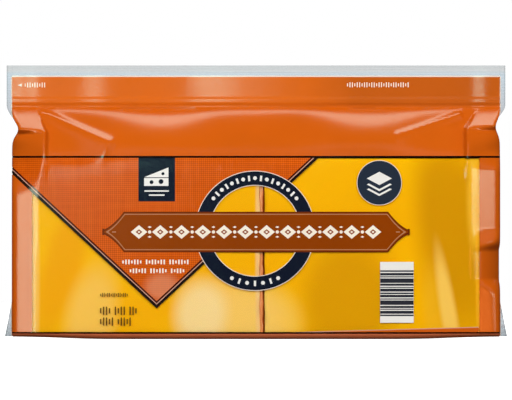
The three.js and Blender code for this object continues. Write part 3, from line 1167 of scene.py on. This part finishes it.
def slice_loop(centre_x, centre_z, y, turn, grow, cells, wave, seed):
    """Points of one face of a slice, as a grid of cells across and up."""
    rng = np.random.default_rng(seed)
    phase = rng.uniform(0, 6.28, 4)
    u = np.linspace(-0.5, 0.5, cells + 1)
    across, up = np.meshgrid(u * (SLICE_WIDTH + 2 * grow), u * (SLICE_HEIGHT + 2 * grow))
    bow = wave * (np.sin(across / 19 + phase[0]) + np.sin(up / 23 + phase[1] + across / 41))
    edge = 0.25 * np.sin(up / 3.1 + phase[2]) * (np.abs(across) > SLICE_WIDTH / 2 - 0.1)
    across = across + edge * np.sign(across)
    x = centre_x + across * math.cos(turn) - up * math.sin(turn)
    z = centre_z + across * math.sin(turn) + up * math.cos(turn)
    return np.stack([x, y + bow, z], axis=-1)


def make_slice(centre_x, centre_z, front, turn, cells, seed):
    """One slice: a thin slab with softened edges."""
    soft = SLICE_SOFT_EDGE
    wave = 0.05 if cells > 10 else 0.0
    back = front + SLICE_THICKNESS
    loops = ((front, -soft), (front + soft, 0), (back - soft, 0), (back, -soft))
    grids = [slice_loop(centre_x, centre_z, y, turn, grow, cells, wave, seed) for y, grow in loops]
    grids = [grid.reshape(-1, 3) for grid in grids]
    side = cells + 1
    rim = list(range(side))
    rim += [i * side + cells for i in range(1, side)]
    rim += [cells * side + j for j in range(cells - 1, -1, -1)]
    rim += [i * side for i in range(cells - 1, 0, -1)]
    points = [grids[0], grids[1][rim], grids[2][rim], grids[3]]
    count, around = side * side, len(rim)
    last = count + 2 * around
    rings = [rim, range(count, count + around), range(count + around, last), [last + r for r in rim]]
    quads = grid_faces(side, side)
    return np.concatenate(points), np.concatenate([quads, quads[:, ::-1] + last, ring_faces(rings)])


def squeezed(points):
    """The stack's points, pressed flatter where the bag's corners leave less room."""
    x, y, z = points.T
    side = np.where(x < 0, -1, 1)
    start, bevel, power, reach = corner(z, side)
    u = np.clip((np.abs(x) + 0.4 - start) / (reach - start), 0, 0.999)
    below = np.clip((BASE_TOP - z) / BASE_RADIUS, 0, 1)
    inset = BASE_RADIUS * (1 - np.sqrt(1 - below**2))
    room = (depth(x, z, BACK) - inset) * corner_share(u, bevel, power)
    share = np.minimum(1, (room - FILM_CLEARANCE) / (BODY_HALF_DEPTH - FILM_CLEARANCE))
    return np.stack([x, y * share, z + base_lift(x, z)], axis=-1)


def make_stack(name, left, materials, seed):
    """A stack of slices, face to face, with small uneven shifts."""
    rng = np.random.default_rng(seed)
    slices = []
    for i in range(SLICES_IN_STACK):
        shift = rng.uniform(-SLICE_SHIFT, SLICE_SHIFT, 2)
        turn = math.radians(rng.uniform(-SLICE_TURN, SLICE_TURN))
        centre_x = left + SLICE_WIDTH / 2 + shift[0]
        centre_z = STACK_BOTTOM + SLICE_HEIGHT / 2 + shift[1]
        cells = 40 if i in (0, SLICES_IN_STACK - 1) else 8
        front = STACK_FRONT + i * SLICE_THICKNESS
        slices.append(make_slice(centre_x, centre_z, front, turn, cells, seed * 100 + i))
    points, faces = merged(slices)
    add_piece("cheese", name, squeezed(points), faces, [materials["cheese"]])


def make_pleat(materials):
    """The folded lower edge of the bag that stands in front of the right stack's foot, with a painted
    highlight in pale rose along its top edge.
    """
    count = 60
    points = []
    for t in np.linspace(0, 1, count + 1):
        x, top = mix(PLEAT_LEFT, PLEAT_RIGHT, t), mix(*PLEAT_TOPS, t)
        highlight_from = max(PLEAT_BOTTOM + 0.2, top - PLEAT_HIGHLIGHT_BAND)
        points += [(x, PLEAT_FRONT, z) for z in (PLEAT_BOTTOM, highlight_from, top)]
    # Orange film below, and a pale rose painted highlight along the top edge
    looks = [materials["ink_orange"], materials["ink_rose"]]
    faces = grid_faces(count + 1, 3)[:, ::-1]
    add_piece("printed_film", "base_pleat", points, faces, looks, [0, 1] * count)


def make_gap_film(materials):
    """The printed back film, which shows between the two stacks: drawn in towards the front, and painted as a
    lit side and a shaded side.
    """
    heights = np.linspace(STACK_BOTTOM + 0.4, TOP_LINE - 0.6, 60)
    points = []
    for z in heights:
        sway_in = 0.14 * math.sin(z / 2.3) + 0.1 * math.sin(z / 0.9)
        points += [(x + sway_in, y, z) for x, y in GAP_PROFILE]
    # Painted light and shade: a light peach where the film faces the front, and brown where it turns away
    looks = [materials["ink_gap_lit_side"], materials["ink_brown"]]
    indices = [0, 0, 1, 1] * (len(heights) - 1)
    faces = grid_faces(len(heights), len(GAP_PROFILE))
    add_piece("printed_film", "gap_film", points, faces, looks, indices)


def make_zip(materials):
    """The press-to-close strip, whose flattened ends show in the clear end seals."""
    half = BODY_HALF_WIDTH + ZIP_END
    profile = list(ZIP_PROFILE) + [(-y, z) for y, z in reversed(ZIP_PROFILE)]
    xs = np.linspace(-half, half, 120)
    points = [(x, y + float(sway(x, z)), z) for x in xs for y, z in profile]
    rings = np.arange(len(points)).reshape(len(xs), -1).tolist()
    faces = [rings[0][::-1], rings[-1]] + ring_faces(rings[::-1])
    add_piece("zip", "zip_strip", points, faces, [materials["zip"]])


# Stage, light and camera


def make_floor():
    """White paper for the camera, and a greyer floor that lights the pack from below."""
    material, tree, shader = new_material("floor_paper")
    stops = ((0.3, (0.88, 0.88, 0.88, 1)), (0.7, (0.92, 0.92, 0.92, 1)))
    inputs = {
        "Base Color": ramp(tree, add_noise(tree, 4.0, 2.0), stops),
        "Roughness": 0.9,
        "Specular IOR Level": 0.0,
        "Emission Color": (1, 1, 1, 1),
        "Emission Strength": 0.95,
    }
    fill(tree, shader, inputs)
    dim = add_node(tree, "BsdfDiffuse", {"Color": (0.2, 0.19, 0.18, 1)})
    for_camera = add_node(tree, "LightPath", {}, "Is Camera Ray")
    to_surface(tree, mixed_shader(tree, for_camera, dim, shader.outputs["BSDF"]))
    points = [(x, y, 0) for x, y in rectangle(-FLOOR_HALF, FLOOR_HALF, -FLOOR_HALF, FLOOR_HALF)]
    floor = make_mesh("floor", points, [(0, 1, 2, 3)], [material])
    floor.visible_glossy = False


def add_light(name, azimuth, elevation, distance, size, radiance, tint=None, shape="RECTANGLE"):
    """A soft box that faces the pack. A tinted one only shines in its gloss.

    Azimuth 0 is at the camera and 90 is to its right.
    """
    a, e = math.radians(azimuth), math.radians(elevation)
    away = Vector((math.sin(a) * math.cos(e), -math.cos(a) * math.cos(e), math.sin(e)))
    place = (Vector((0, 0, LIGHT_AIM)) + away * distance) * MM
    data = bpy.data.lights.new(name, "AREA")
    data.shape = shape
    data.size, data.size_y = size[0] * MM, size[1] * MM
    data.energy = radiance * math.pi * data.size * data.size_y
    light = bpy.data.objects.new(name, data)
    light.location = place
    light.rotation_euler = away.to_track_quat("Z", "Y").to_euler()
    light.visible_camera = False
    data.color = tint or (1, 1, 1)
    light.visible_glossy = tint is not None
    light.visible_diffuse = tint is None
    bpy.context.scene.collection.objects.link(light)


def make_lights():
    for name, azimuth in (("key_left", -30), ("key_right", 30)):
        add_light(name, azimuth, 30, 1500, (1100, 900), KEY_RADIANCE)
    for name, azimuth in (("back_left", -145), ("back_right", 145)):
        add_light(name, azimuth, 25, 1500, (900, 700), BACK_RADIANCE)
    add_light("top_box", 180, 69, 1000, (660, 800), SHINE_RADIANCE, TOP_TINT)
    add_light("side_box_left", -35, 0, 1150, (400, 420), SIDE_RADIANCE, SIDE_TINT)
    add_light("side_box_right", 37, 1.8, 1150, (480, 104), SIDE_RADIANCE, SIDE_TINT, "ELLIPSE")
    add_light("low_box", 14.5, -3.4, 1440, (210, 90), LOW_RADIANCE, LOW_TINT)
    add_light("header_box", -13.1, 7, 1400, (358, 255), HEADER_RADIANCE, HEADER_TINT)


def make_world():
    """A pale room: white behind the pack, a soft fill on it, and dark in its mirror images."""
    world = bpy.data.worlds.new("room")
    bpy.context.scene.world = world
    world.use_nodes = True
    tree = world.node_tree
    for node in list(tree.nodes):
        tree.nodes.remove(node)
    strengths = (ROOM_FILL, ROOM_SHINE, ROOM_SEEN)
    fill_room, shine, seen = (
        add_node(tree, "Background", {"Color": (1, 1, 1, 1), "Strength": strength}) for strength in strengths
    )
    in_mirror = add_node(tree, "LightPath", {}, "Is Glossy Ray")
    for_camera = add_node(tree, "LightPath", {}, "Is Camera Ray")
    shader = mixed_shader(tree, for_camera, mixed_shader(tree, in_mirror, fill_room, shine), seen)
    tree.links.new(shader, tree.nodes.new("ShaderNodeOutputWorld").inputs["Surface"])


def make_camera():
    """Straight on, from far off, level with the middle of the photograph's frame."""
    lens, sensor = 1000.0, 36.0
    data = bpy.data.cameras.new("camera")
    data.lens, data.sensor_width = lens, sensor
    camera = bpy.data.objects.new("camera", data)
    distance = lens * FRAME_WIDTH / sensor + BODY_HALF_DEPTH
    camera.location = Vector((0, -distance, CAMERA_HEIGHT)) * MM
    camera.rotation_euler = (math.pi / 2, 0, 0)
    data.clip_start, data.clip_end = 0.1, 100
    bpy.context.scene.collection.objects.link(camera)
    bpy.context.scene.camera = camera


def main():
    bpy.context.scene.view_settings.view_transform = "Standard"
    make_camera()
    materials = make_materials()
    make_bag(materials)
    for side in (-1, 1):
        make_seal(side, materials)
    make_stack("left_stack", LEFT_STACK_EDGE - SLICE_WIDTH, materials, 3)
    make_stack("right_stack", RIGHT_STACK_EDGE, materials, 5)
    make_pleat(materials)
    make_gap_film(materials)
    make_zip(materials)
    make_floor()
    make_lights()
    make_world()


main()
